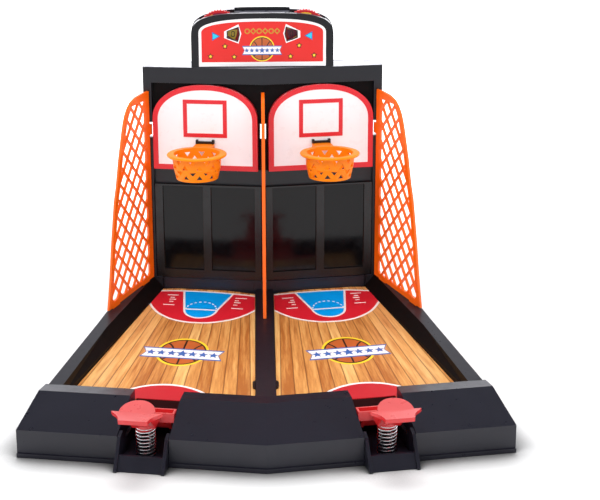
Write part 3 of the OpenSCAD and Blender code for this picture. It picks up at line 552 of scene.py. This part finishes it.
def court_print(side, s):
    at = court_at(s)

    def add(name, material, draw):
        piece(f"print_{name}_{side}", material, "game", draw)

    rear = smooth(REAR[side])
    key = [REAR[side][2], *KEY, REAR[side][4]]
    add("red", COURT_RED, layer(at, 0.03, cut([*THREE, *rear[::-1]], REGION), base=-0.06))
    add("key", COURT_BLUE, layer(at, 0.045, cut(key, REGION), base=-0.06))
    dashes = [arc(41.8, 166.2, 10.2, a, a + 9, 3) for a in range(10, 176, 18)]
    free_throw = [(31.2, 164.3), (52.4, 167.9)]

    def lining(bm):
        for loops, width, h in (((rear, THREE), 1.5, 0.06), ((key[::-1], free_throw), 1.35, 0.065),
                                (dashes, 0.9, 0.06), (BARS, 0.95, 0.06)):
            for loop in loops:
                prism(bm, cut(stroke(loop, width), REGION), at, -0.06, h)
        prism(bm, stroke(FRONT, 1.5), at, -0.06, 0.06)

    add("lines", INK_WHITE, lining)
    # this one also covers the print's edge in the notch
    add("front", COURT_RED_FRONT_SHADED, layer(at, 0.03, [*FRONT, *NOTCH], base=-0.45))
    ball_emblem("court_emblem", side, at, 51.3, 112.4, 16.5, 10.5, 0.05)


def court_latch(side, s):
    """Small black latch that holds the board against the centre beam."""
    loop = [(6.2, 66.5), (7.3, 67.3), (7.7, 68.4), (7.7, 72.6), (7.3, 73.7), (6.2, 74.5)]
    draw = layer(court_at(s), 1.3, loop, base=-0.2)
    piece(f"court_latch_{side}", BLACK_IN, "game", draw)


# ---------------------------------------------------------------- springs
SPRING_FOOT, SPRING_HEAD = 3.22, 20.5


def spring(side, s):
    """Round-wire coil between the spring seat and the lever."""
    x, y = lane_xy(69.2, 8.0)
    x, y = s * x, y - Y_MID
    radius, wire, turns, closed, steps, around = 5.375, 0.4, 8.0, 0.6, 30, 10

    def coil(bm):
        z0 = SPRING_FOOT + wire
        z1 = SPRING_HEAD - wire
        rows = []
        for i in range(int((turns + 2 * closed) * steps) + 1):
            t = i / steps
            rise = min(max((t - closed) / turns, 0), 1)
            out = Vector((*polar(0, 0, 1, 360 * t), 0))
            c = Vector((x, y, z0 + (z1 - z0) * rise)) + radius * out
            row = []
            for j in range(around):
                a, b = polar(0, 0, wire, 360 * j / around)
                row.append(bm.verts.new((c + a * out + b * Vector((0, 0, 1))) * MM))
            rows.append(row)
        for a, b in zip(rows, rows[1:]):
            for j in range(around):
                m = (j + 1) % around
                bm.faces.new((a[j], a[m], b[m], b[j])).smooth = True
        bm.faces.new(rows[0][::-1])
        bm.faces.new(rows[-1])

    obj = piece(f"coil_{side}", WIRE, None, coil)
    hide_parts(f"launcher_spring_{side}")
    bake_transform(obj)


# ---------------------------------------------------------------- sign print
TOP_W, TOP_Z, TOP_H, TOP_N = 39.1, 212.9, 7.2, 2.5  # rounded top of the red field
STARS = ((-33.4, 197.8), (-24.0, 204.3), (-18.1, 197.4), (18.1, 197.5), (23.7, 204.5), (33.3, 198.1))


def field_top(steps=60):
    out = []
    for i in range(steps + 1):
        c, q = polar(0, 0, 1, 180 * i / steps)
        out.append((TOP_W * math.copysign(abs(c) ** (2 / TOP_N), c), TOP_Z + TOP_H * abs(q) ** (2 / TOP_N)))
    return out


def top_at(x):
    return TOP_Z + TOP_H * (1 - (abs(x) / TOP_W) ** TOP_N) ** (1 / TOP_N)


def red_field():
    """The middle and the two sides, which leave a window with a white surround on each side."""
    top = field_top()
    foot, edge = 194.0, 15.3
    corner = (15.2, top_at(15.2))
    left = [(-15.2, 218.4), (-13.4, 212.3), (-edge, 206.0)]
    middle = [(-edge, foot), (edge, foot), *(mirrored(left, -1)[::-1]), corner]
    middle += [p for p in top if abs(p[0]) < 15.0] + mirrored([corner], -1) + left
    half = [(edge, foot), (TOP_W, foot)] + [p for p in top if p[0] > 15.4]
    half += [corner, (15.2, 218.4), (24.4, 213.9), (24.5, 209.6), (edge, 206.0)]
    return layer(sign_at, 0.04, middle, half, mirrored(half, -1)[::-1])


def window_edges(bm):
    hole = [(22.1, 213.9), (22.2, 209.9), (16.0, 207.7), (14.9, 212.0), (15.6, 216.0)]
    rim = [(22.75, 214.15), (22.85, 209.5), (15.6, 207.0), (14.25, 212.0), (15.1, 216.8)]
    for _, s in SIDES:
        ring(bm, mirrored(rim, s), mirrored(hole, s), sign_at, -0.05, 0.05)


def arrows(grow, h):
    base_x, tip_x = 32.1 + grow * 0.8, 27.2 - grow * 1.7
    loop = [(base_x, 213.5 + grow * 1.7), (base_x, 208.1 - grow * 1.7), (tip_x, 210.8)]
    return layer(sign_at, h, *(mirrored(loop, s) for _, s in SIDES))


def sign_stars(r, h):
    return layer(sign_at, h, *(star(x, z, r, 0.55) for x, z in STARS))


def row_of_rings(bm):
    """Rings and squares in turn, where a title would stand."""
    for i in range(6):
        outer, inner, corners = (2.1, 1.2, 4) if i % 2 else (1.75, 1.1, 28)
        x = -9.6 + 3.84 * i
        ring(bm, circle(x, 213.9, outer, corners), circle(x, 213.9, inner, corners), sign_at, -0.05, 0.09)


def sign_print():
    for name, material, draw in (
        ("field", FIELD, red_field()), ("window_lines", INK_BLACK, window_edges),
        ("arrow_edges", INK_NAVY, arrows(0.1, 0.08)), ("arrows", INK_CYAN, arrows(-0.42, 0.11)),
        ("star_edges", INK_BROWN, sign_stars(2.1, 0.08)), ("stars", INK_YELLOW, sign_stars(1.15, 0.11)),
        ("row", INK_OLIVE, row_of_rings),
    ):
        piece(f"sign_{name}", material, "game", draw)
    ball_emblem("sign_emblem", "sign", sign_at, -0.2, 202.5, 8.2, 0.0, 0.09)


# ---------------------------------------------------------------- dial faces
SEGMENTS = {
    "a": ((-1, 2), (1, 2)), "b": ((1, 2), (1, 0)), "c": ((1, 0), (1, -2)), "d": ((-1, -2), (1, -2)),
    "e": ((-1, -2), (-1, 0)), "f": ((-1, 0), (-1, 2)), "g": ((-1, 0), (1, 0)),
}
DIGITS = ("abcdef", "bc", "abged", "abgcd", "fgbc", "afgcd", "afgedc", "abc", "abcdefg", "abcdfg")


def dial_face(side, s):
    """Ten sectors in two colours, each with its figure, the first one standing in the window."""
    cx, cz, face = s * 27.6, 213.6, 200.4
    window = math.degrees(math.atan2(-2.3, -9.2 * s))

    def dial_at(x, z, h):
        return Vector((x, face - h - Y_MID, z)) * MM

    def sectors(parity):
        loops = []
        for i in range(parity, 10, 2):
            a0, a1 = window - 18 + 36 * i, window + 18 + 36 * i
            loops.append(arc(cx, cz, 11.4, a0 + 0.6, a1 - 0.6, 10) + arc(cx, cz, 4.4, a1 - 1.4, a0 + 1.4, 6))
        return layer(dial_at, 0.05, *loops)

    bars = []
    for i, digit in enumerate(DIGITS):
        turn = -36 * i * s
        px, pz = polar(cx, cz, 9.0, window + turn)
        for name in digit:
            a, b = (Vector(p) * 0.85 for p in SEGMENTS[name])
            d = (b - a).normalized() * 0.12
            bars.append(turned(stroke([tuple(a + d), tuple(b - d)], 0.5), px, pz, turn))

    light = 0 if s < 0 else 1
    for name, material, draw in (
        ("light", INK_MUSTARD, sectors(light)), ("dark", INK_MAROON, sectors(1 - light)),
        ("numbers", INK_BLACK, layer(dial_at, 0.1, *bars)),
    ):
        piece(f"dial_{name}_{side}", material, f"dial_{side}", draw)


for side, s in SIDES:
    court_print(side, s)
for side, s in SIDES:
    court_latch(side, s)
for side, s in SIDES:
    spring(side, s)
sign_print()
for side, s in SIDES:
    dial_face(side, s)


# ---------------------------------------------------------------- stage
def floor_material():
    """Pale sheet that glows out into white for the camera away from the object, with a painted shadow
    (ambient occlusion in its colour) where the object stands on it.
    """
    m = bpy.data.materials.new("floor")
    m.use_nodes = True
    nt = m.node_tree
    b = nt.nodes["Principled BSDF"]
    b.inputs["Roughness"].default_value = 0.7
    b.inputs["Specular IOR Level"].default_value = 0.05
    b.inputs["Emission Color"].default_value = (1, 1, 1, 1)
    reach = nt.nodes.new("ShaderNodeVectorMath")
    reach.operation = "LENGTH"
    nt.links.new(nt.nodes.new("ShaderNodeTexCoord").outputs["Object"], reach.inputs[0])
    fade = nt.nodes.new("ShaderNodeMapRange")
    fade.interpolation_type = "SMOOTHSTEP"
    for socket, value in (("From Min", 0.16), ("From Max", 0.7), ("To Min", 0.0), ("To Max", 1.0)):
        fade.inputs[socket].default_value = value
    nt.links.new(reach.outputs["Value"], fade.inputs["Value"])
    looked_at = nt.nodes.new("ShaderNodeLightPath").outputs["Is Camera Ray"]
    glow = math_node(nt, "MULTIPLY", fade.outputs["Result"], looked_at)
    nt.links.new(glow, b.inputs["Emission Strength"])
    # painted shadow: ambient occlusion darkens the floor's colour near the object
    occlusion_shadow = nt.nodes.new("ShaderNodeAmbientOcclusion")
    occlusion_shadow.inputs["Distance"].default_value = 0.022
    occlusion_shadow.samples = 8
    occlusion_shadow.inputs["Color"].default_value = (0.9, 0.9, 0.9, 1)
    shadow_gamma = nt.nodes.new("ShaderNodeGamma")
    shadow_gamma.inputs["Gamma"].default_value = 2.2
    nt.links.new(occlusion_shadow.outputs["Color"], shadow_gamma.inputs["Color"])
    nt.links.new(shadow_gamma.outputs["Color"], b.inputs["Base Color"])
    return m


def floor():
    z = -0.0002
    mesh = bpy.data.meshes.new("floor")
    mesh.from_pydata([(-6, -6, z), (6, -6, z), (6, 9, z), (-6, 9, z)], [], [(0, 1, 2, 3)])
    mesh.materials.append(floor_material())
    obj = bpy.data.objects.new("floor", mesh)
    bpy.context.scene.collection.objects.link(obj)


def softbox(name, size, power, where, target):
    light = bpy.data.lights.new(name, "AREA")
    light.shape = "RECTANGLE"
    light.size, light.size_y = size
    light.energy = power
    obj = bpy.data.objects.new(name, light)
    bpy.context.scene.collection.objects.link(obj)
    obj.location = where
    obj.rotation_euler = (Vector(target) - Vector(where)).to_track_quat("-Z", "Y").to_euler()
    obj.visible_glossy = False


BRIGHTEST = 3.6
# degrees above the horizon and share of the brightest
STOPS = ((0, 1.0), (11, 1.0), (18, 0.27), (33, 0.22), (46, 0.04))


def studio():
    """White walls with a dark ceiling, brightest low down behind the object and dim on the camera's side.

    The camera itself sees pure white."""
    world = bpy.data.worlds.new("studio")
    world.use_nodes = True
    bpy.context.scene.world = world
    nt = world.node_tree
    xyz = split(nt, nt.nodes.new("ShaderNodeTexCoord").outputs["Generated"])
    ramp = nt.nodes.new("ShaderNodeValToRGB")
    elements = ramp.color_ramp.elements
    for angle, tone in STOPS:
        height = math.sin(math.radians(angle))
        e = elements[0] if angle == 0 else elements.new(height)
        e.position = height
        e.color = (tone * 0.96, tone * 0.96, tone, 1)
    elements.remove(elements[-1])
    nt.links.new(xyz[2], ramp.inputs[0])
    seen = nt.nodes.new("ShaderNodeLightPath").outputs["Is Camera Ray"]
    background = nt.nodes["Background"]
    nt.links.new(mix_color(nt, seen, ramp.outputs[0], (1.0, 1.0, 1.0)), background.inputs[0])
    side_tone = nt.nodes.new("ShaderNodeMapRange")
    for socket, value in (("From Min", -0.6), ("From Max", 0.7),
                          ("To Min", 0.3 * BRIGHTEST), ("To Max", 1.5 * BRIGHTEST)):
        side_tone.inputs[socket].default_value = value
    nt.links.new(xyz[1], side_tone.inputs["Value"])
    not_seen = math_node(nt, "SUBTRACT", 1.0, seen)
    direct = math_node(nt, "MULTIPLY", seen, 1.1)
    strength = math_node(nt, "MULTIPLY_ADD", side_tone.outputs["Result"], not_seen, direct)
    nt.links.new(strength, background.inputs[1])


floor()
softbox("top", (0.9, 0.5), 12.0, (0.0, 0.42, 1.3), (0, 0.0, 0.05))
softbox("key", (0.9, 0.6), 11.0, (-0.55, -0.75, 1.2), (0, 0.05, 0.05))
softbox("fill", (0.9, 0.6), 6.0, (0.6, -0.7, 1.05), (0, 0.05, 0.05))
studio()


# ---------------------------------------------------------------- camera
PITCH, ROLL, YAW = 0.264, 0.008, 0.004  # radians
FOCAL = 1363.9  # pixels
FRAME_W, FRAME_H = 600, 500
CENTRE = (265, 201.38)  # where the camera's axis meets the picture
CAM = Vector((0.625, -677.42, 336.63))  # millimetres from the front lip line
PIVOT = Vector((0, 120, 0))


def camera():
    turn = Matrix.Rotation(-YAW, 3, "Z")
    pos = turn @ (CAM - PIVOT) + PIVOT
    level = Vector((1, 0, 0))
    forward = Vector((0, math.cos(PITCH), -math.sin(PITCH)))
    up = Vector((0, math.sin(PITCH), math.cos(PITCH)))
    x_axis = turn @ (math.cos(ROLL) * level - math.sin(ROLL) * up)
    y_axis = turn @ (math.sin(ROLL) * level + math.cos(ROLL) * up)
    z_axis = -(turn @ forward)
    data = bpy.data.cameras.new("camera")
    data.sensor_width = 36
    data.lens = FOCAL * data.sensor_width / FRAME_W
    data.shift_x = (FRAME_W / 2 - CENTRE[0]) / FRAME_W
    data.shift_y = (CENTRE[1] - FRAME_H / 2) / FRAME_W
    data.clip_start = 0.01
    obj = bpy.data.objects.new("camera", data)
    bpy.context.scene.collection.objects.link(obj)
    spot = Matrix.Translation(Vector((pos.x, pos.y - Y_MID, pos.z)) * MM)
    obj.matrix_world = spot @ Matrix((x_axis, y_axis, z_axis)).transposed().to_4x4()
    bpy.context.scene.camera = obj


camera()
bpy.context.scene.view_settings.view_transform = "Standard"
